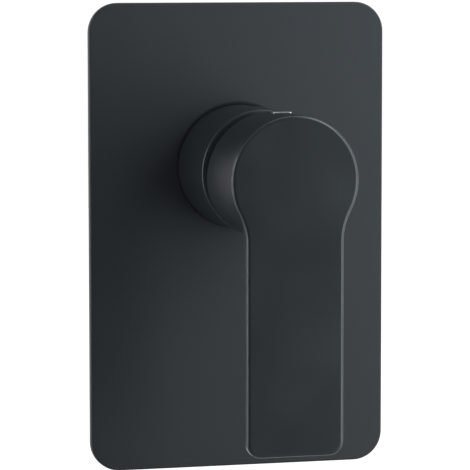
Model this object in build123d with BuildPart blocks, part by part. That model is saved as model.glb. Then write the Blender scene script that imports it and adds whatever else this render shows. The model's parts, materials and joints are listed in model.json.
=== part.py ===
from build123d import *
from math import radians, sqrt, tan
import os

# Concealed single-lever mixer tap: a wall plate, a sleeve and a lever in front of the wall, and the
# brass body with its ceramic cartridge behind them. Millimetres, +Z up, the tap faces -Y.
# The origin is where the tap's axis meets the finished wall. A reach is a distance out of the wall,
# along -Y; what lies in the wall has a depth, along +Y.

# Wall plate: a pressed tray, taller than wide, with the tap's axis above its middle
plate_width = 110.5
plate_height = 170.0
plate_corner = 10.7
plate_depth = 3.0
plate_sheet = 1.2
plate_edge_round = 0.8
axis_above_middle = 25.5
plate_hole_gap = 0.25

# Foam gasket in the plate's rim and rubber ring round the sleeve
gasket_proud = 0.3
gasket_width = 6.0
gasket_side_gap = 0.2
ring_width = 4.5
ring_gap = 0.05

# Cartridge: outer size and the thickness of each layer, from the chamber's floor outwards
cartridge_diameter = 35.0
floor_reach = 8.0
base_flange = 2.0
base_thick = 7.0
fixed_disc_thick = 4.5
moving_disc_thick = 3.5
carrier_thick = 5.5
carrier_floor = 1.2
rotor_flange_thick = 2.0
housing_wall = 2.0
housing_roof = 1.9
housing_neck_wall = 1.4
neck_above_pivot = 5.5
running_gap = 0.08
slide_gap = 0.2
disc_side_gap = 0.2

# Cartridge ports, hot and cold below left and right, outlet above
inlet_across = 8.5
inlet_below = 4.0
inlet_radius = 3.4
outlet_above = 9.0
outlet_radius = 4.0
seal_width = 2.0
seal_thick = 1.5
locator_across = 11.5
locator_above = 7.0
locator_radius = 1.7
locator_length = 2.5
locator_gap = 0.1

# Stem, its pivot and the disc that it pushes
stem_size = 8.0
stem_arm = 12.0
stem_reach = 29.0
ball_radius = 3.0
ball_gap = 0.3
arm_radius = 2.4
hub_radius = 5.0
pin_radius = 2.0
pin_gap = 0.05
pin_short = 1.0
slot_side_gap = 0.15
slot_half_length = 8.2
rotor_neck_radius = 10.5
disc_radius = 12.4
lever_lift = 22.0
pocket_length = 20.0
pocket_width = 10.5
pocket_depth = 2.0
pocket_above = 6.0
key_length = 9.0
key_width = 4.0
key_height = 1.2
key_gap = 0.1
rib_across = 8.2
rib_width = 2.0
rib_height = 1.3
rib_length = 18.0

# Brass body: chamber, neck, barrel and its three threaded ports
chamber_gap = 0.2
mouth_step = 1.3
neck_wall = 1.95
neck_front_gap = 0.2
barrel_radius = 23.0
body_depth = 38.0
body_edge_round = 1.5
boss_front_wall = 5.7
boss_back_wall = 2.7
port_reach = 44.0
boss_radius = 12.8
boss_root_round = 2.5
port_hex = 27.0
port_hex_length = 12.0
port_hex_chamfer = 30.0
thread_radius = 10.48
thread_depth = 14.0
passage_radius = 4.5
passage_end = 5.5
strap_length = 78.0
strap_width = 14.0
strap_thick = 6.0
strap_below = 26.0
strap_hole_spacing = 64.0
strap_hole_radius = 2.75
strap_edge_round = 1.0
cord_section = 2.0
cord_squeeze = 0.1
groove_reach = 13.0
groove_width = 2.4

# Retaining nut
nut_hex = 28.0
nut_hex_length = 5.2
nut_bore_gap = 0.3
thread_gap = 0.05

# Sleeve over the neck, with a domed collar that the lever's skirt swings round
sleeve_wall = 1.5
sleeve_foot = 1.0
rim_behind_pivot = 1.5
rim_round = 0.6
rim_slope = 1.3
dome_radius = 19.6
dome_above_pivot = 10.5
dome_hole_gap = 2.6

# Lever: a round head with a hollow back, flowing into a flat blade that hangs down
head_length = 34.1
head_wedge = 13.5
head_gap = 1.5
head_wall = 2.5
head_front_wall = 5.0
blade_width = 34.4
blade_length = 95.0
blade_thick = 3.8
blade_corner = 5.0
neck_round = 22.0
front_round = 1.2
back_round = 1.0
cove_round = 4.5
boss_back_above_pivot = 11.5
lever_boss_radius = 9.0
socket_gap = 0.05
socket_end_gap = 1.0

# Grub screw and the bright plug over it, on top of the head
screw_behind_front = 18.8
screw_radius = 2.0
screw_length = 10.0
screw_gap = 0.03
screw_hex = 2.0
screw_hex_depth = 2.5
screw_rib_width = 9.0
screw_rib_length = 6.0
plug_width = 6.6
plug_length = 4.6
plug_corner = 0.8
plug_proud = 0.15
plug_sunk = 0.8
plug_round = 0.1
plug_spigot = 4.0
plug_gap = 0.03

# Reaches that follow from the layers
base_front = floor_reach + base_thick
fixed_disc_front = base_front + fixed_disc_thick
moving_disc_front = fixed_disc_front + moving_disc_thick
carrier_front = moving_disc_front + carrier_thick
rotor_flange_front = carrier_front + rotor_flange_thick
roof_inside = rotor_flange_front + running_gap
shoulder_reach = roof_inside + housing_roof
socket_floor = moving_disc_front + carrier_floor
ball_reach = socket_floor + ball_gap + ball_radius
pivot_reach = ball_reach + stem_arm
disc_travel = stem_arm * radians(lever_lift)
sleeve_front = pivot_reach - rim_behind_pivot
neck_front = sleeve_front - sleeve_wall - neck_front_gap
neck_end = pivot_reach + neck_above_pivot
dome_front = pivot_reach + dome_above_pivot
plate_front = gasket_proud + plate_depth
sheet_back = plate_front - plate_sheet
port_depth = body_depth - boss_back_wall - boss_radius
barrel_front_depth = port_depth - boss_radius - boss_front_wall

# Radii that follow from the cartridge
cartridge_radius = cartridge_diameter / 2
housing_bore = cartridge_radius - housing_wall
housing_neck_bore = rotor_neck_radius + running_gap
housing_neck_radius = housing_neck_bore + housing_neck_wall
fixed_disc_radius = housing_bore - disc_side_gap
rotor_flange_radius = housing_bore - disc_side_gap
chamber_radius = cartridge_radius + chamber_gap
mouth_radius = chamber_radius + mouth_step
neck_radius = mouth_radius + neck_wall
sleeve_bore = neck_radius + thread_gap
sleeve_radius = sleeve_bore + sleeve_wall
dome_hole = housing_neck_radius + dome_hole_gap
dome_inner_radius = dome_radius - sleeve_wall

# Lever sizes that follow from the sleeve and the pivot
head_radius = sleeve_radius
wedge_rise = head_radius * tan(radians(head_wedge))
head_back = sleeve_front + head_gap + wedge_rise
head_front = head_back + head_length
blade_back = head_front - blade_thick
cavity_radius = head_radius - head_wall
cavity_front = head_front - head_front_wall
lever_boss_back = pivot_reach + boss_back_above_pivot
stem_end = pivot_reach + stem_reach
screw_reach = head_front - screw_behind_front
half_stem = stem_size / 2
plug_top = head_radius + plug_proud
plug_bottom = head_radius - plug_sunk

# Half-section plane: local x is the radius, local y the reach
section = Plane(origin=(0, 0, 0), x_dir=(1, 0, 0), z_dir=(0, 0, -1))
# Side plane: local x is the reach, local y the height
side = Plane(origin=(0, 0, 0), x_dir=(0, -1, 0), z_dir=(-1, 0, 0))


def facing(reach):
    """The plane at a reach that faces the room: local x is X, local y is Z."""
    return Plane.XZ.offset(reach)


def on_sphere(radius, reach):
    """The radius, at a reach, of a sphere about the pivot."""
    return sqrt(radius**2 - (reach - pivot_reach) ** 2)


port_places = [
    ((-inlet_across, -inlet_below), inlet_radius),
    ((inlet_across, -inlet_below), inlet_radius),
    ((0, outlet_above), outlet_radius),
]
locator_places = [(-locator_across, locator_above), (locator_across, locator_above)]

# Pressed wall plate
with BuildPart() as cover_plate:
    with BuildSketch(facing(gasket_proud)):
        with Locations((0, -axis_above_middle)):
            RectangleRounded(plate_width, plate_height, plate_corner)
    extrude(amount=plate_depth)
    fillet(cover_plate.faces().sort_by(Axis.Y)[0].edges(), plate_edge_round)
    with BuildSketch(facing(gasket_proud)):
        with Locations((0, -axis_above_middle)):
            RectangleRounded(
                plate_width - 2 * plate_sheet,
                plate_height - 2 * plate_sheet,
                plate_corner - plate_sheet,
            )
    extrude(amount=plate_depth - plate_sheet, mode=Mode.SUBTRACT)
    with BuildSketch(facing(gasket_proud)):
        Circle(sleeve_radius + plate_hole_gap)
    extrude(amount=plate_depth, mode=Mode.SUBTRACT)

# Foam gasket inside the plate's rim, against the wall
with BuildPart() as plate_gasket:
    gasket_inset = plate_sheet + gasket_side_gap
    with BuildSketch(facing(0)):
        with Locations((0, -axis_above_middle)):
            RectangleRounded(
                plate_width - 2 * gasket_inset,
                plate_height - 2 * gasket_inset,
                plate_corner - gasket_inset,
            )
            RectangleRounded(
                plate_width - 2 * (gasket_inset + gasket_width),
                plate_height - 2 * (gasket_inset + gasket_width),
                plate_corner - gasket_inset - gasket_width,
                mode=Mode.SUBTRACT,
            )
    extrude(amount=sheet_back)

# Rubber ring behind the plate that grips the sleeve
with BuildPart() as sleeve_seal:
    with BuildSketch(facing(0)):
        Circle(sleeve_radius + ring_gap + ring_width)
        Circle(sleeve_radius + ring_gap, mode=Mode.SUBTRACT)
    extrude(amount=sheet_back)

# Turned sleeve: tube, rounded rim and the domed collar round the cartridge's neck
with BuildPart() as escutcheon_sleeve:
    with BuildSketch(section) as sleeve_section:
        inner_front = dome_front - sleeve_wall
        inner_back = sleeve_front - sleeve_wall
        slope_front = sleeve_front + rim_slope
        with BuildLine():
            outer = Polyline(
                (on_sphere(dome_inner_radius, inner_back), inner_back),
                (sleeve_bore, inner_back),
                (sleeve_bore, sleeve_foot),
                (sleeve_radius, sleeve_foot),
                (sleeve_radius, sleeve_front),
                (on_sphere(dome_radius, slope_front), slope_front),
            )
            dome = ThreePointArc(
                outer @ 1,
                (dome_radius, pivot_reach),
                (on_sphere(dome_radius, dome_front), dome_front),
            )
            collar = Polyline(
                dome @ 1,
                (dome_hole, dome_front),
                (dome_hole, inner_front),
                (on_sphere(dome_inner_radius, inner_front), inner_front),
            )
            ThreePointArc(collar @ 1, (dome_inner_radius, pivot_reach), outer @ 0)
        make_face()
        rim_corner = sleeve_section.vertices().sort_by_distance((sleeve_radius, sleeve_front))[0]
        fillet(rim_corner, rim_round)
    revolve(axis=Axis.Y)

# Fixing strap at the body's back, cast in one with it
with BuildPart() as fixing_strap:
    with BuildSketch(facing(-body_depth)):
        with Locations((0, -strap_below)):
            SlotOverall(strap_length, strap_width)
    extrude(amount=strap_thick)
    fillet(fixing_strap.faces().filter_by(Axis.Y).edges(), strap_edge_round)
    with BuildSketch(facing(-body_depth)):
        with Locations((0, -strap_below)):
            with GridLocations(strap_hole_spacing, 0, 2, 1):
                Circle(strap_hole_radius)
    extrude(amount=strap_thick, mode=Mode.SUBTRACT)

# Brass body: neck and chamber, barrel, three hexagon-ended ports and the fixing strap
port_planes = [
    Plane(origin=(-port_reach, port_depth, 0), z_dir=(1, 0, 0)),
    Plane(origin=(port_reach, port_depth, 0), z_dir=(-1, 0, 0)),
    Plane(origin=(0, port_depth, port_reach), z_dir=(0, 0, -1)),
]
groove_floor = sleeve_bore - cord_section
with BuildPart() as valve_body:
    with BuildSketch(section):
        with BuildLine():
            Polyline(
                (0, -body_depth),
                (barrel_radius, -body_depth),
                (barrel_radius, -barrel_front_depth),
                (neck_radius, -barrel_front_depth),
                (neck_radius, groove_reach),
                (groove_floor, groove_reach),
                (groove_floor, groove_reach + groove_width),
                (neck_radius, groove_reach + groove_width),
                (neck_radius, neck_front),
                (mouth_radius, neck_front),
                (mouth_radius, shoulder_reach),
                (chamber_radius, shoulder_reach),
                (chamber_radius, floor_reach),
                (0, floor_reach),
                close=True,
            )
        make_face()
    revolve(axis=Axis.Y)
    for port_plane in port_planes:
        with BuildSketch(port_plane):
            Circle(boss_radius)
        extrude(amount=port_reach)
    boss_roots = valve_body.edges().filter_by(GeomType.BSPLINE)
    fillet(boss_roots, boss_root_round)
    fillet(valve_body.faces().sort_by(Axis.Y)[-1].edges(), body_edge_round)
    for port_plane in port_planes:
        with BuildSketch(port_plane):
            RegularPolygon(port_hex / 2, 6, major_radius=False)
        extrude(amount=port_hex_length)
        hex_section = Plane(port_plane.origin, x_dir=port_plane.x_dir, z_dir=port_plane.y_dir)
        with BuildSketch(hex_section):
            with BuildLine():
                Polyline(
                    (port_hex / 2, 0),
                    (port_hex, 0),
                    (port_hex, -port_hex / 2 * tan(radians(port_hex_chamfer))),
                    close=True,
                )
            make_face()
        revolve(axis=Axis(port_plane.origin, port_plane.z_dir), mode=Mode.SUBTRACT)
    add(fixing_strap.part)
    for port_plane in port_planes:
        with BuildSketch(port_plane):
            Circle(thread_radius)
        extrude(amount=thread_depth, mode=Mode.SUBTRACT)
        with BuildSketch(port_plane):
            Circle(passage_radius)
        extrude(amount=port_reach - passage_end, mode=Mode.SUBTRACT)
    with BuildSketch(facing(floor_reach)):
        for place, radius in port_places:
            with Locations(place):
                Circle(radius)
    extrude(amount=-(floor_reach + port_depth), mode=Mode.SUBTRACT)
    with BuildSketch(facing(floor_reach)):
        with Locations(*locator_places):
            Circle(locator_radius + locator_gap)
    extrude(amount=-(locator_length + locator_gap), mode=Mode.SUBTRACT)

# Rubber cord ring in the neck's groove, against the sleeve's bore
with BuildPart() as neck_ring:
    cord_radius = (cord_section - cord_squeeze) / 2
    with BuildSketch(section):
        with Locations((groove_floor + cord_section / 2, groove_reach + groove_width / 2)):
            Circle(cord_radius)
    revolve(axis=Axis.Y)

# Brass nut that holds the cartridge down
with BuildPart() as retaining_nut:
    with BuildSketch(facing(shoulder_reach)):
        Circle(mouth_radius - thread_gap)
    extrude(amount=neck_front - shoulder_reach)
    with BuildSketch(facing(neck_front)):
        RegularPolygon(nut_hex / 2, 6, major_radius=False)
    extrude(amount=nut_hex_length)
    with BuildSketch(facing(shoulder_reach)):
        Circle(housing_neck_radius + nut_bore_gap)
    extrude(amount=neck_front + nut_hex_length - shoulder_reach, mode=Mode.SUBTRACT)

# Cartridge's housing: a cup with a neck
with BuildPart() as cartridge_housing:
    with BuildSketch(section):
        with BuildLine():
            Polyline(
                (housing_bore, floor_reach + base_flange),
                (cartridge_radius, floor_reach + base_flange),
                (cartridge_radius, shoulder_reach),
                (housing_neck_radius, shoulder_reach),
                (housing_neck_radius, neck_end),
                (housing_neck_bore, neck_end),
                (housing_neck_bore, roof_inside),
                (housing_bore, roof_inside),
                close=True,
            )
        make_face()
    revolve(axis=Axis.Y)

# Cartridge's base, with its ports, seal seats and two locating pegs
with BuildPart() as cartridge_base:
    with BuildSketch(facing(floor_reach)):
        Circle(cartridge_radius)
    extrude(amount=base_flange)
    with BuildSketch(facing(floor_reach + base_flange)):
        Circle(fixed_disc_radius)
    extrude(amount=base_thick - base_flange)
    with BuildSketch(facing(floor_reach)):
        with Locations(*locator_places):
            Circle(locator_radius)
    extrude(amount=-locator_length)
    with BuildSketch(facing(floor_reach)):
        for place, radius in port_places:
            with Locations(place):
                Circle(radius)
    extrude(amount=base_thick, mode=Mode.SUBTRACT)
    for seat_reach in (floor_reach, base_front - seal_thick):
        with BuildSketch(facing(seat_reach)):
            for place, radius in port_places:
                with Locations(place):
                    Circle(radius + seal_width)
        extrude(amount=seal_thick, mode=Mode.SUBTRACT)


def port_seals(back):
    """Three rubber rings round the ports, in seats whose back is at a reach."""
    with BuildPart() as seals:
        with BuildSketch(facing(back)):
            for place, radius in port_places:
                with Locations(place):
                    Circle(radius + seal_width)
                    Circle(radius, mode=Mode.SUBTRACT)
        extrude(amount=seal_thick)
    return seals


base_seals = port_seals(floor_reach)
disc_seals = port_seals(base_front - seal_thick)

# Fixed ceramic disc with the three ports
with BuildPart() as fixed_disc:
    with BuildSketch(facing(base_front)):
        Circle(fixed_disc_radius)
        for place, radius in port_places:
            with Locations(place):
                Circle(radius, mode=Mode.SUBTRACT)
    extrude(amount=fixed_disc_thick)

# Moving ceramic disc: closed over the inlets at rest, with a mixing pocket on its back
with BuildPart() as moving_disc:
    with BuildSketch(facing(fixed_disc_front)):
        with Locations((0, disc_travel / 2)):
            Circle(disc_radius)
    extrude(amount=moving_disc_thick)
    with BuildSketch(facing(fixed_disc_front)):
        with Locations((0, pocket_above)):
            SlotOverall(pocket_length, pocket_width)
    extrude(amount=pocket_depth, mode=Mode.SUBTRACT)
    with BuildSketch(facing(moving_disc_front - key_height - key_gap)):
        with Locations((0, -disc_travel / 2 - key_width / 2)):
            Rectangle(key_length + 2 * key_gap, key_width + 2 * key_gap)
    extrude(amount=key_height + key_gap, mode=Mode.SUBTRACT)

# Carrier that the stem's ball pushes, keyed to the moving disc and guided by the rotor's ribs
with BuildPart() as disc_carrier:
    with BuildSketch(facing(moving_disc_front)):
        with Locations((0, disc_travel / 2)):
            Circle(disc_radius)
    extrude(amount=carrier_thick)
    with BuildSketch(facing(moving_disc_front - key_height)):
        with Locations((0, -disc_travel / 2 - key_width / 2)):
            Rectangle(key_length, key_width)
    extrude(amount=key_height)
    with BuildSketch(facing(socket_floor)):
        Circle(ball_radius + ball_gap)
    extrude(amount=carrier_front - socket_floor, mode=Mode.SUBTRACT)
    with BuildSketch(facing(carrier_front)):
        with GridLocations(2 * rib_across, 0, 2, 1):
            Rectangle(rib_width + 2 * slide_gap, 4 * disc_radius)
    extrude(amount=-(rib_height + slide_gap), mode=Mode.SUBTRACT)

# Rotor that turns in the housing's neck: flange, guide ribs, stem slot and pin hole
with BuildPart() as cartridge_rotor:
    with BuildSketch(facing(carrier_front)):
        Circle(rotor_flange_radius)
    extrude(amount=rotor_flange_thick)
    with BuildSketch(facing(rotor_flange_front)):
        Circle(rotor_neck_radius)
    extrude(amount=neck_end - rotor_flange_front)
    with BuildSketch(facing(carrier_front)):
        with GridLocations(2 * rib_across, 0, 2, 1):
            Rectangle(rib_width, rib_length)
    extrude(amount=-rib_height)
    with BuildSketch(facing(carrier_front)):
        Rectangle(stem_size + 2 * slot_side_gap, 2 * slot_half_length)
    extrude(amount=neck_end - carrier_front, mode=Mode.SUBTRACT)
    with BuildSketch(side):
        with Locations((pivot_reach, 0)):
            Circle(pin_radius)
    extrude(amount=rotor_neck_radius, both=True, mode=Mode.SUBTRACT)

# Pivot pin across the rotor
with BuildPart() as pivot_pin:
    with BuildSketch(side):
        with Locations((pivot_reach, 0)):
            Circle(pin_radius)
    extrude(amount=rotor_neck_radius - pin_short, both=True)

# Stem: square shank for the lever, hub on the pin and a ball that pushes the carrier
with BuildPart() as cartridge_stem:
    with BuildSketch(side):
        with Locations((pivot_reach, 0)):
            Circle(hub_radius)
            Rectangle(stem_reach, stem_size, align=(Align.MIN, Align.CENTER))
    extrude(amount=half_stem, both=True)
    with BuildSketch(facing(ball_reach)):
        Circle(arm_radius)
    extrude(amount=stem_arm)
    with Locations((0, -ball_reach, 0)):
        Sphere(ball_radius)
    with BuildSketch(side):
        with Locations((pivot_reach, 0)):
            Circle(pin_radius + pin_gap)
    extrude(amount=half_stem, both=True, mode=Mode.SUBTRACT)

# Lever's front outline: the round head, the blade and the hollow curves between them
with BuildSketch(facing(blade_back)) as lever_outline:
    Circle(head_radius)
    Rectangle(blade_width, blade_length, align=(Align.CENTER, Align.MAX))
    neck_corners = lever_outline.vertices().group_by(Axis.Y)[1]
    fillet(neck_corners, neck_round)
    tip_corners = lever_outline.vertices().group_by(Axis.Y)[0]
    fillet(tip_corners, blade_corner)

# The same outline, inside the rounding of the blade's back edge
with BuildSketch(facing(blade_back)) as cove_outline:
    offset(lever_outline.sketch_local, amount=-back_round)

# Cove that carries the blade's back round into the head
with BuildPart() as lever_cove:
    with BuildSketch(section):
        with BuildLine():
            cove_edge = Polyline(
                (head_radius, blade_back - cove_round),
                (cavity_radius, blade_back - cove_round),
                (cavity_radius, blade_back),
                (head_radius + cove_round, blade_back),
            )
            RadiusArc(cove_edge @ 1, cove_edge @ 0, cove_round)
        make_face()
    revolve(axis=Axis.Y)
    extrude(cove_outline.sketch, amount=-cove_round, mode=Mode.INTERSECT)

# Lever: one casting with a wedge-cut hollow head, a boss for the stem and the blade
with BuildPart() as lever_handle:
    extrude(lever_outline.sketch, amount=blade_thick)
    fillet(lever_handle.faces().sort_by(Axis.Y)[-1].edges(), back_round)
    with BuildSketch(facing(head_back - wedge_rise)):
        Circle(head_radius)
    extrude(amount=head_length + wedge_rise)
    split(bisect_by=Plane(origin=(0, -head_back, 0), z_dir=(0, -head_radius, -wedge_rise)))
    add(lever_cove.part)
    fillet(lever_handle.faces().sort_by(Axis.Y)[0].edges(), front_round)
    with BuildSketch(facing(head_back - wedge_rise)):
        Circle(cavity_radius)
    extrude(amount=cavity_front - head_back + wedge_rise, mode=Mode.SUBTRACT)
    with BuildSketch(facing(lever_boss_back)):
        Circle(lever_boss_radius)
    extrude(amount=cavity_front - lever_boss_back)
    with BuildSketch(facing(screw_reach - screw_rib_length / 2)):
        Rectangle(screw_rib_width, cavity_radius + head_wall / 2, align=(Align.CENTER, Align.MIN))
    extrude(amount=screw_rib_length)
    with BuildSketch(facing(lever_boss_back)):
        Rectangle(stem_size + 2 * socket_gap, stem_size + 2 * socket_gap)
    extrude(amount=stem_end + socket_end_gap - lever_boss_back, mode=Mode.SUBTRACT)
    with BuildSketch(Plane.XY):
        with Locations((0, -screw_reach)):
            Circle(screw_radius + screw_gap)
    extrude(amount=plug_top, mode=Mode.SUBTRACT)
    with BuildSketch(Plane.XY.offset(plug_bottom)):
        with Locations((0, -screw_reach)):
            RectangleRounded(plug_width + 2 * plug_gap, plug_length + 2 * plug_gap, plug_corner)
    extrude(amount=plug_top - plug_bottom, mode=Mode.SUBTRACT)

# Grub screw that clamps the lever to the stem
with BuildPart() as grub_screw:
    with BuildSketch(Plane.XY.offset(half_stem)):
        with Locations((0, -screw_reach)):
            Circle(screw_radius)
    extrude(amount=screw_length)
    with BuildSketch(Plane.XY.offset(half_stem + screw_length)):
        with Locations((0, -screw_reach)):
            RegularPolygon(screw_hex / 2, 6, major_radius=False)
    extrude(amount=-screw_hex_depth, mode=Mode.SUBTRACT)

# Bright plug that closes the screw's hole
with BuildPart() as index_plug:
    with BuildSketch(Plane.XY.offset(plug_bottom)):
        with Locations((0, -screw_reach)):
            RectangleRounded(plug_width, plug_length, plug_corner)
    extrude(amount=plug_top - plug_bottom)
    fillet(index_plug.faces().sort_by(Axis.Z)[-1].edges(), plug_round)
    with BuildSketch(Plane.XY.offset(plug_bottom)):
        with Locations((0, -screw_reach)):
            Circle(screw_radius)
    extrude(amount=-plug_spigot)

pieces = {
    "cover_plate": cover_plate,
    "plate_gasket": plate_gasket,
    "sleeve_seal": sleeve_seal,
    "escutcheon_sleeve": escutcheon_sleeve,
    "valve_body": valve_body,
    "neck_ring": neck_ring,
    "retaining_nut": retaining_nut,
    "cartridge_housing": cartridge_housing,
    "cartridge_base": cartridge_base,
    "base_seals": base_seals,
    "disc_seals": disc_seals,
    "fixed_disc": fixed_disc,
    "moving_disc": moving_disc,
    "disc_carrier": disc_carrier,
    "cartridge_rotor": cartridge_rotor,
    "pivot_pin": pivot_pin,
    "cartridge_stem": cartridge_stem,
    "lever_handle": lever_handle,
    "grub_screw": grub_screw,
    "index_plug": index_plug,
}
os.makedirs("parts", exist_ok=True)
for name, piece in pieces.items():
    piece.part.label = name
    export_step(piece.part, f"parts/{name}.step")
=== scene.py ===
"""Looks of a concealed mixer tap: finishes, the threads in its ports, the studio and the camera."""

import json
from math import cos, pi, radians, sin, tau

import bmesh
import bpy
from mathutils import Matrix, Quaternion, Vector


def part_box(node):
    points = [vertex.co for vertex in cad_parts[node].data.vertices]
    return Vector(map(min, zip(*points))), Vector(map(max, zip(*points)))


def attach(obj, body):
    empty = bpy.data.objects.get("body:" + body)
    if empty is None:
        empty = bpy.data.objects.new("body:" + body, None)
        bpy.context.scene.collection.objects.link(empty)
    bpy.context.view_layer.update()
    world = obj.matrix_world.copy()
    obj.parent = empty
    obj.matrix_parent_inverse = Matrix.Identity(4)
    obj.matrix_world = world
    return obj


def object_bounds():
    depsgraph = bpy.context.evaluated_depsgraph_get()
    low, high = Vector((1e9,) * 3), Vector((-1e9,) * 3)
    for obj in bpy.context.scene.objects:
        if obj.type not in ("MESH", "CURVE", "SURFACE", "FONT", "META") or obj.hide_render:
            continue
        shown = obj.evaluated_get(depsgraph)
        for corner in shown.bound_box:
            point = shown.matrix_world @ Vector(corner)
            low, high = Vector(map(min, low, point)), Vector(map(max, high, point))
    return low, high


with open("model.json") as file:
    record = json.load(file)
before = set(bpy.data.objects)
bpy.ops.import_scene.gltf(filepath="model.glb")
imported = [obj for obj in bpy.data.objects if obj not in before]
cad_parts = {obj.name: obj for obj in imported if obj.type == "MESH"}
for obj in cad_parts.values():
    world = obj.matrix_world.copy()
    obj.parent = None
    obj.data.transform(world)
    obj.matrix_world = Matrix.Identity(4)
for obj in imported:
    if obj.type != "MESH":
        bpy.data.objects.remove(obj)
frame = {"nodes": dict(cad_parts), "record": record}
cad_low, cad_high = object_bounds()
scene = bpy.context.scene

# Camera, as the photograph was taken: from the left and a little above, through a long lens
camera_azimuth = radians(-15.05)
camera_elevation = radians(5.40)
camera_roll = radians(-0.05)
camera_distance = 1.07
camera_lens = 224.2
aim_left_of_middle = 0.00121
aim_above_middle = 0.00024

# Studio: a floor that fades to white away from the tap, white behind the tap up to a top edge, and a
# dim room in front of it. The backdrop's soft edges are parts of a direction, and metres on the floor
floor_below_plate = 0.6
floor_half_width = 8.0
floor_grey = (0.82, 0.82, 0.82, 1.0)
floor_lift_starts = 0.3
floor_lift_full = 1.5
backdrop_white = (1.02, 1.02, 1.02, 1.0)
backdrop_top = (0.25, 0.5)
backdrop_depth = (-0.1, 0.3)
room_grey = (0.06, 0.06, 0.06, 1.0)

# Lamps, seen from the plate's middle: azimuth to the right, elevation, distance, width, height and
# share of a plain light level
lamps = {
    "right_box": (radians(46), radians(9), 0.40, 0.28, 0.6, 1.46),
    "top_box": (radians(65), radians(50), 0.9, 0.5, 0.4, 0.38),
    "overhead": (radians(14), radians(73), 0.9, 0.5, 0.3, 0.18),
    "left_strip": (radians(-82), radians(5), 0.8, 0.2, 0.6, 0.50),
    "upper_left": (radians(-57), radians(44), 0.8, 0.3, 1.0, 0.16),
    "back_left": (radians(-150), radians(0), 0.6, 0.3, 0.4, 0.08),
    "low_fill": (radians(25), radians(-42), 0.9, 0.8, 0.8, 0.08),
}

# Places where the paint is darker as painted shade, each with a soft edge from one value to the next:
# the plate's rough ring of painted shade at its joint with the sleeve, by how far it goes past the sleeve
# and how high it is, and the sleeve's smoother collar, also with painted shade, by how far back it goes
# from the sleeve's front
shade_ring_past_sleeve = (0.0009, 0.0013)
shade_ring_heights = (-0.004, 0.014)
shade_ring_roughness = 0.75
collar_length = (0.0114, 0.0118)
collar_roughness = 0.25

# Grain of the finishes: sizes across, heights of the bumps and how strongly they show
paint_cloud_size = 0.018
paint_grain_size = 0.00022
paint_grain_height = 0.000006
paint_peel_size = 0.0013
paint_bump = 0.35
cast_mottle_size = 0.007
cast_sand_size = 0.0007
cast_sand_height = 0.00006
cast_edge_round = 0.0004
cast_bump = 0.6
tool_mark_size = 0.0006
tool_mark_height = 0.000004
metal_line_size = 0.00025
metal_line_height = 0.000004
metal_bump = 0.4
mould_cloud_size = 0.006
mould_bump = 0.5
foam_pore_size = 0.0008
foam_pore_depth = 0.00025
foam_pore_walls = (0.2, 0.8)
foam_wave_size = 0.004
foam_wave_height = 0.0003
foam_bump = 0.7
edge_round_samples = 6

# Roughness of the brass, and how far the roughness of the other finishes swings to both sides
cast_roughness = (0.42, 0.56)
cut_roughness = (0.20, 0.30)
paint_swing = 0.03
metal_swing = 0.06
mould_swing = 0.05

# Machined ends of the ports: how far they reach back from the mouths, and down from the axis
port_cut_length = 0.0122
port_cut_below_axis = 0.018

# Pipe thread in the ports: pitch, depth, widths of a ridge and how far it keeps from the bore's ends
thread_pitch = 0.001814
thread_ridge_depth = 0.00116
thread_foot_width = 0.0015
thread_crest_width = 0.0004
thread_bite = 0.0001
thread_end_gap = 0.0012
thread_steps_per_turn = 72
thread_fade_steps = 30
thread_sharp_angle = radians(30)

# Colours, linear
plate_black = (0.0207, 0.0240, 0.0272, 1.0)
plate_black_light = (0.0239, 0.0275, 0.0311, 1.0)
lever_black = (0.0130, 0.0160, 0.0187, 1.0)
lever_black_light = (0.0151, 0.0185, 0.0214, 1.0)
paint_gloss_tint = (0.82, 0.93, 1.0, 1.0)
# The black of painted shade at the plate's joint with the sleeve and on the sleeve's collar in the lever's
# gap
painted_shade_black = (0.007, 0.009, 0.0105, 1.0)
cast_brass_light = (0.66, 0.47, 0.22, 1.0)
cast_brass_dark = (0.50, 0.33, 0.14, 1.0)
cut_brass = (0.80, 0.61, 0.31, 1.0)

# Sockets of a Mix node by their numbers, because several share a name
mix_factor = 0
mix_first_value = 2
mix_second_value = 3
mix_first_colour = 6
mix_second_colour = 7
mix_value_out = 0
mix_colour_out = 2


def add_node(tree, kind, inputs=None, **options):
    """A node of a kind, with its options, and for its inputs a value or the socket that feeds each."""
    made = tree.nodes.new(kind)
    for option, value in options.items():
        setattr(made, option, value)
    for name, term in (inputs or {}).items():
        if isinstance(term, bpy.types.NodeSocket):
            tree.links.new(term, made.inputs[name])
        else:
            made.inputs[name].default_value = term
    return made


def new_material(name, **values):
    """A material with one Principled shader, whose uniform values are set on its sockets."""
    material = bpy.data.materials.new(name)
    material.use_nodes = True
    tree = material.node_tree
    shader = tree.nodes["Principled BSDF"]
    for socket, value in values.items():
        shader.inputs[socket.replace("_", " ")].default_value = value
    return material, tree, shader


def place_in_frame(tree):
    """The place of a point of the surface, in the frame's metres."""
    return add_node(tree, "ShaderNodeTexCoord").outputs["Object"]


def parts_of(tree, vector):
    """The X, Y and Z of a vector."""
    return add_node(tree, "ShaderNodeSeparateXYZ", {"Vector": vector}).outputs


def length_of(tree, vector):
    """How long a vector is."""
    return add_node(tree, "ShaderNodeVectorMath", {0: vector}, operation="LENGTH").outputs["Value"]


def noise(tree, size, detail=2.0, stretch=(1.0, 1.0, 1.0)):
    """Noise in the frame's metres, whose grains are about a size across."""
    scaled = add_node(tree, "ShaderNodeMapping", {"Vector": place_in_frame(tree), "Scale": stretch})
    inputs = {"Vector": scaled.outputs["Vector"], "Scale": 1.0 / size, "Detail": detail}
    return add_node(tree, "ShaderNodeTexNoise", inputs).outputs["Fac"]


def cells(tree, size):
    """Round cells in the frame's metres: nought at the middle of a cell, one at its wall."""
    inputs = {"Vector": place_in_frame(tree), "Scale": 1.0 / size}
    return add_node(tree, "ShaderNodeTexVoronoi", inputs).outputs["Distance"]


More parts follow.
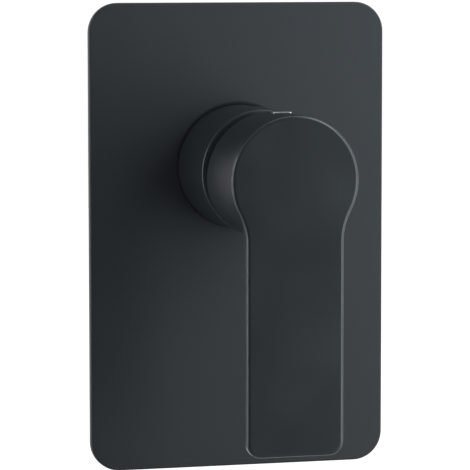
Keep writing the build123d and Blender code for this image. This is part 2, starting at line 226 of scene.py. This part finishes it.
def math_node(tree, operation, first, second):
    """The result of a sum on two terms, each a number or a socket."""
    return add_node(tree, "ShaderNodeMath", {0: first, 1: second}, operation=operation).outputs[0]


def mixed_value(tree, first, second, by):
    """A value between two, each a number or a socket, as a texture says."""
    inputs = {mix_factor: by, mix_first_value: first, mix_second_value: second}
    return add_node(tree, "ShaderNodeMix", inputs).outputs[mix_value_out]


def mixed_colour(tree, first, second, by):
    """A colour between two, each a colour or a socket, as a texture says."""
    inputs = {mix_factor: by, mix_first_colour: first, mix_second_colour: second}
    return add_node(tree, "ShaderNodeMix", inputs, data_type="RGBA").outputs[mix_colour_out]


def ranged(tree, by, low, high, start=0.3, end=0.7):
    """A value that goes from low to high as a texture goes from start to end."""
    inputs = {"Value": by, "From Min": start, "From Max": end, "To Min": low, "To Max": high}
    return add_node(tree, "ShaderNodeMapRange", inputs).outputs["Result"]


def add_colour(tree, shader, colour, roughness):
    """The shader takes its colour and its roughness from two sockets."""
    tree.links.new(colour, shader.inputs["Base Color"])
    tree.links.new(roughness, shader.inputs["Roughness"])


def add_bump(tree, shader, layers, strength, edge_round=None):
    """Bumps from several textures, each with its own height in metres, over softened edges if asked."""
    normal = None
    if edge_round:
        bevel = add_node(tree, "ShaderNodeBevel", {"Radius": edge_round}, samples=edge_round_samples)
        normal = bevel.outputs["Normal"]
    for texture, height in layers:
        inputs = {"Strength": strength, "Distance": height, "Height": texture}
        if normal is not None:
            inputs["Normal"] = normal
        normal = add_node(tree, "ShaderNodeBump", inputs).outputs["Normal"]
    tree.links.new(normal, shader.inputs["Normal"])


def shade_ring_over_sleeve(tree):
    """One on the plate close over the sleeve, where its edge is painted dark as shade at the joint, and
    else nought.
    """
    _, sleeve_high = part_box("escutcheon_sleeve")
    starts, ends = shade_ring_past_sleeve
    place = place_in_frame(tree)
    on_plate = {0: place, 1: (1.0, 0.0, 1.0)}
    across = add_node(tree, "ShaderNodeVectorMath", on_plate, operation="MULTIPLY").outputs["Vector"]
    from_axis = length_of(tree, across)
    ring = ranged(tree, from_axis, 1.0, 0.0, sleeve_high.x + starts, sleeve_high.x + ends)
    upper = ranged(tree, parts_of(tree, place)["Z"], 0.0, 1.0, *shade_ring_heights)
    return math_node(tree, "MULTIPLY", ring, upper)


def collar_in_gap(tree):
    """One on the sleeve's collar, past its rim and inside the lever's skirt, where it takes painted shade
    and a smoother finish, and else nought.
    """
    sleeve_low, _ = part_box("escutcheon_sleeve")
    starts, ends = collar_length
    depth = parts_of(tree, place_in_frame(tree))["Y"]
    return ranged(tree, depth, 1.0, 0.0, sleeve_low.y + starts, sleeve_low.y + ends)


def powder_paint(name, dark, light, gloss, roughness, peel_height, shade_mask=None, shade_roughness=0.0):
    """Matt black powder coat: fine grain, faint orange peel, slight cloudiness and maybe a place of painted
    shade.
    """
    material, tree, shader = new_material(
        name, Specular_IOR_Level=gloss, Specular_Tint=paint_gloss_tint
    )
    clouds = noise(tree, paint_cloud_size, detail=3.0)
    colour = mixed_colour(tree, dark, light, clouds)
    spread = ranged(tree, clouds, roughness - paint_swing, roughness + paint_swing)
    # Painted shade: where the mask says, the colour turns to the painted shade's black and the roughness to
    # its own
    if shade_mask:
        inside = shade_mask(tree)
        colour = mixed_colour(tree, colour, painted_shade_black, inside)
        spread = mixed_value(tree, spread, shade_roughness, inside)
    add_colour(tree, shader, colour, spread)
    peel = noise(tree, paint_peel_size)
    grain = noise(tree, paint_grain_size)
    add_bump(tree, shader, [(peel, peel_height), (grain, paint_grain_height)], paint_bump)
    return material


def port_ends(tree):
    """One on the hexagons and in the bores at the ports' ends, which are cut, and else nought."""
    _, body_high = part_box("valve_body")
    parts = parts_of(tree, place_in_frame(tree))
    sideways = math_node(tree, "ABSOLUTE", parts["X"], 0.0)
    level = math_node(tree, "GREATER_THAN", parts["Z"], -port_cut_below_axis)
    at_sides = math_node(tree, "GREATER_THAN", sideways, body_high.x - port_cut_length)
    at_top = math_node(tree, "GREATER_THAN", parts["Z"], body_high.z - port_cut_length)
    return math_node(tree, "MAXIMUM", math_node(tree, "MULTIPLY", at_sides, level), at_top)


def body_brass():
    """Brass casting, sandblasted and mottled, with bright machined port ends."""
    material, tree, shader = new_material("body_brass", Metallic=1.0)
    cut = port_ends(tree)
    mottle = noise(tree, cast_mottle_size, detail=4.0)
    tool_marks = noise(tree, tool_mark_size)
    sand = noise(tree, cast_sand_size, detail=3.0)
    cast = mixed_colour(tree, cast_brass_light, cast_brass_dark, mottle)
    cast_spread = ranged(tree, mottle, *cast_roughness)
    cut_spread = ranged(tree, tool_marks, *cut_roughness)
    colour = mixed_colour(tree, cast, cut_brass, cut)
    add_colour(tree, shader, colour, mixed_value(tree, cast_spread, cut_spread, cut))
    uncut = math_node(tree, "SUBTRACT", 1.0, cut)
    cast_sand = math_node(tree, "MULTIPLY", sand, uncut)
    layers = [(cast_sand, cast_sand_height), (tool_marks, tool_mark_height)]
    add_bump(tree, shader, layers, cast_bump, cast_edge_round)
    return material


def turned_metal(name, light, dark, roughness, stretch, edge_round):
    """Metal with fine lines along one direction and softened edges."""
    material, tree, shader = new_material(name, Metallic=1.0)
    lines = noise(tree, metal_line_size, stretch=stretch)
    spread = ranged(tree, lines, roughness - metal_swing, roughness + metal_swing)
    add_colour(tree, shader, mixed_colour(tree, light, dark, lines), spread)
    add_bump(tree, shader, [(lines, metal_line_height)], metal_bump, edge_round)
    return material


def moulded(name, base, clouded, roughness, grain_size, grain_height):
    """Moulded plastic, rubber or ceramic: faint clouds of a second colour and a fine surface grain."""
    material, tree, shader = new_material(name)
    clouds = noise(tree, mould_cloud_size, detail=3.0)
    spread = ranged(tree, clouds, roughness - mould_swing, roughness + mould_swing)
    add_colour(tree, shader, mixed_colour(tree, base, clouded, clouds), spread)
    add_bump(tree, shader, [(noise(tree, grain_size), grain_height)], mould_bump)
    return material


def open_foam(name, light, dark):
    """Foam strip: pores with thin walls between them, each pore darker toward its middle as painted shade.
    """
    material, tree, shader = new_material(name, Roughness=0.95, Specular_IOR_Level=0.2)
    pores = cells(tree, foam_pore_size)
    walls = ranged(tree, pores, 0.0, 1.0, *foam_pore_walls)
    # Painted shade: the colour darkens from the walls into each pore
    tree.links.new(mixed_colour(tree, dark, light, walls), shader.inputs["Base Color"])
    waves = noise(tree, foam_wave_size, detail=3.0)
    layers = [(waves, foam_wave_height), (walls, foam_pore_depth)]
    add_bump(tree, shader, layers, foam_bump)
    return material


# The plate's paint is darker and rougher in a ring over the sleeve's foot: painted shade at the joint
plate_paint = powder_paint(
    "plate_paint",
    dark=plate_black,
    light=plate_black_light,
    gloss=0.25,
    roughness=0.55,
    peel_height=0.000004,
    shade_mask=shade_ring_over_sleeve,
    shade_roughness=shade_ring_roughness,
)
# The sleeve's paint is darker on its collar in the lever's gap, which is painted shade, and smoother there
sleeve_paint = powder_paint(
    "sleeve_paint",
    dark=lever_black,
    light=lever_black_light,
    gloss=0.5,
    roughness=0.32,
    peel_height=0.000002,
    shade_mask=collar_in_gap,
    shade_roughness=collar_roughness,
)
lever_paint = powder_paint(
    "lever_paint",
    dark=lever_black,
    light=lever_black_light,
    gloss=0.5,
    roughness=0.32,
    peel_height=0.000002,
)
thread_brass = turned_metal(
    "thread_brass",
    light=cut_brass,
    dark=cast_brass_light,
    roughness=0.24,
    stretch=(0.2, 0.2, 0.2),
    edge_round=0.0001,
)
node_finishes = {
    "cover_plate": plate_paint,
    "escutcheon_sleeve": sleeve_paint,
    "lever_handle": lever_paint,
    "valve_body": body_brass(),
}
slot_finishes = {
    "bright_plug": turned_metal(
        "bright_plug",
        light=(0.56, 0.56, 0.56, 1.0),
        dark=(0.48, 0.48, 0.48, 1.0),
        roughness=0.34,
        stretch=(0.05, 1.0, 1.0),
        edge_round=0.0001,
    ),
    "brass": thread_brass,
    "rubber": moulded(
        "rubber",
        base=(0.016, 0.016, 0.017, 1.0),
        clouded=(0.024, 0.024, 0.025, 1.0),
        roughness=0.8,
        grain_size=0.0003,
        grain_height=0.00001,
    ),
    # The foam's dark colour is painted shade in its pores
    "foam": open_foam("foam", light=(0.075, 0.075, 0.08, 1.0), dark=(0.02, 0.02, 0.022, 1.0)),
    "cartridge_plastic": moulded(
        "cartridge_plastic",
        base=(0.70, 0.71, 0.72, 1.0),
        clouded=(0.62, 0.63, 0.65, 1.0),
        roughness=0.45,
        grain_size=0.0004,
        grain_height=0.000008,
    ),
    "carrier_plastic": moulded(
        "carrier_plastic",
        base=(0.22, 0.24, 0.27, 1.0),
        clouded=(0.17, 0.19, 0.22, 1.0),
        roughness=0.45,
        grain_size=0.0004,
        grain_height=0.000008,
    ),
    "ceramic": moulded(
        "ceramic",
        base=(0.84, 0.83, 0.80, 1.0),
        clouded=(0.78, 0.77, 0.73, 1.0),
        roughness=0.25,
        grain_size=0.0003,
        grain_height=0.000003,
    ),
    "steel": turned_metal(
        "steel",
        light=(0.60, 0.60, 0.61, 1.0),
        dark=(0.50, 0.50, 0.51, 1.0),
        roughness=0.32,
        stretch=(1.0, 0.05, 1.0),
        edge_round=0.0002,
    ),
}


def dress_nodes():
    """Each node of the frame takes its own finish, or else the finish of its slot."""
    for subpart in frame["record"]["subparts"]:
        name = subpart["node"]
        finish = node_finishes.get(name) or slot_finishes[subpart["material_slot"]]
        frame["nodes"][name].material_slots[0].material = finish


def thread_ring(mount, step, steps):
    """The four corners of a thread's ridge at one step along it, from foot to crest to foot."""
    axis = Vector(mount["axis"])
    bore = mount["dims"]["r_mm"] / 1000
    bore_length = mount["dims"]["length_mm"] / 1000
    mouth = Vector(mount["pos_m"]) + axis * bore_length / 2
    across = axis.orthogonal().normalized()
    turn = tau * step / thread_steps_per_turn
    outward = Quaternion(axis, turn) @ across
    fade = min(1.0, step / thread_fade_steps, (steps - step) / thread_fade_steps)
    along = thread_end_gap + thread_foot_width / 2 + thread_pitch * turn / tau
    crest = bore - thread_ridge_depth * fade
    corners = []
    for radius, shift in (
        (bore + thread_bite, -thread_foot_width / 2),
        (crest, -thread_crest_width / 2),
        (crest, thread_crest_width / 2),
        (bore + thread_bite, thread_foot_width / 2),
    ):
        corners.append(mouth - axis * (along + shift) + outward * radius)
    return corners


def add_thread(mount):
    """A port's thread: a ridge that winds down the bore and fades out at both ends."""
    room = mount["dims"]["length_mm"] / 1000 - 2 * thread_end_gap - thread_foot_width
    steps = int(room / thread_pitch * thread_steps_per_turn)
    mesh = bpy.data.meshes.new(mount["name"] + "_thread")
    ridge = bmesh.new()
    rings = []
    for step in range(steps + 1):
        rings.append([ridge.verts.new(corner) for corner in thread_ring(mount, step, steps)])
    for ring, following in zip(rings, rings[1:]):
        for side in range(len(ring)):
            beside = (side + 1) % len(ring)
            ridge.faces.new((ring[side], ring[beside], following[beside], following[side]))
    ridge.faces.new(rings[0])
    ridge.faces.new(rings[-1])
    bmesh.ops.recalc_face_normals(ridge, faces=ridge.faces)
    ridge.to_mesh(mesh)
    ridge.free()
    mesh.shade_smooth()
    mesh.set_sharp_from_angle(angle=thread_sharp_angle)
    mesh.materials.append(thread_brass)
    thread = bpy.data.objects.new(mesh.name, mesh)
    scene.collection.objects.link(thread)
    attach(thread, "wall_set")


def plate_middle():
    """The middle of the plate's front face."""
    low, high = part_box("cover_plate")
    return Vector(((low.x + high.x) / 2, low.y, (low.z + high.z) / 2))


def seen_by_camera(tree):
    """One for what the camera sees, itself or through glass, and else nought."""
    paths = add_node(tree, "ShaderNodeLightPath").outputs
    return math_node(tree, "MAXIMUM", paths["Is Camera Ray"], paths["Is Transmission Ray"])


def shown_directly(tree, behind):
    """One for what the camera sees and for a gloss that looks behind the tap, and else nought."""
    paths = add_node(tree, "ShaderNodeLightPath").outputs
    mirrored = math_node(tree, "MULTIPLY", paths["Is Glossy Ray"], behind)
    return math_node(tree, "MAXIMUM", seen_by_camera(tree), mirrored)


def add_floor():
    """A pale floor that keeps the tap's shadow and fades to white with its distance from the tap."""
    height = cad_low.z - floor_below_plate
    half = floor_half_width
    mesh = bpy.data.meshes.new("floor")
    corners = [(-half, -half, height), (half, -half, height), (half, half, height), (-half, half, height)]
    mesh.from_pydata(corners, [], [(0, 1, 2, 3)])
    floor = bpy.data.objects.new("floor", mesh)
    scene.collection.objects.link(floor)
    material, tree, shader = new_material(
        "floor", Base_Color=floor_grey, Roughness=0.9, Emission_Color=backdrop_white
    )
    place = place_in_frame(tree)
    far = ranged(tree, length_of(tree, place), 0.0, 1.0, floor_lift_starts, floor_lift_full)
    behind = ranged(tree, parts_of(tree, place)["Y"], 0.0, 1.0, *backdrop_depth)
    lift = math_node(tree, "MULTIPLY", far, shown_directly(tree, behind))
    tree.links.new(lift, shader.inputs["Emission Strength"])
    mesh.materials.append(material)


def set_world():
    """White behind the tap and wherever the camera looks past it, and a dim room in front."""
    world = bpy.data.worlds.new("studio")
    scene.world = world
    world.use_nodes = True
    tree = world.node_tree
    direction = add_node(tree, "ShaderNodeTexCoord").outputs["Generated"]
    parts = parts_of(tree, direction)
    behind = ranged(tree, parts["Y"], 0.0, 1.0, *backdrop_depth)
    below_top = ranged(tree, parts["Z"], 1.0, 0.0, *backdrop_top)
    backdrop = math_node(tree, "MULTIPLY", behind, below_top)
    white = math_node(tree, "MAXIMUM", backdrop, seen_by_camera(tree))
    colour = mixed_colour(tree, room_grey, backdrop_white, white)
    tree.links.new(colour, tree.nodes["Background"].inputs["Color"])


def seen_from_front(azimuth, elevation):
    """The direction at an azimuth, to the right of straight in front, and an elevation."""
    return Vector(
        (
            sin(azimuth) * cos(elevation),
            -cos(azimuth) * cos(elevation),
            sin(elevation),
        )
    )


def add_lamps():
    """Softboxes that face the plate's middle, each with its share of a plain light level there."""
    for name, (azimuth, elevation, distance, width, height, share) in lamps.items():
        lamp = bpy.data.lights.new(name, "AREA")
        lamp.shape = "RECTANGLE"
        lamp.size = width
        lamp.size_y = height
        lamp.energy = share * (pi * distance) ** 2
        box = bpy.data.objects.new(name, lamp)
        scene.collection.objects.link(box)
        away = seen_from_front(azimuth, elevation)
        box.location = plate_middle() + away * distance
        box.rotation_mode = "QUATERNION"
        box.rotation_quaternion = (-away).to_track_quat("-Z", "Y")
        box.visible_camera = False


def add_camera():
    """The photograph's camera, which looks close to the plate's middle."""
    lens = bpy.data.cameras.new("camera")
    lens.lens = camera_lens
    camera = bpy.data.objects.new("camera", lens)
    scene.collection.objects.link(camera)
    back = seen_from_front(camera_azimuth, camera_elevation)
    aim = plate_middle() + Vector((-aim_left_of_middle, 0, aim_above_middle))
    camera.location = aim + back * camera_distance
    camera.rotation_mode = "QUATERNION"
    camera.rotation_quaternion = Quaternion(back, camera_roll) @ (-back).to_track_quat("-Z", "Y")
    scene.camera = camera


dress_nodes()
for mount in frame["record"]["mounts"]:
    if mount["kind"] == "threaded_hole":
        add_thread(mount)
add_floor()
set_world()
add_lamps()
add_camera()
scene.view_settings.view_transform = "Standard"
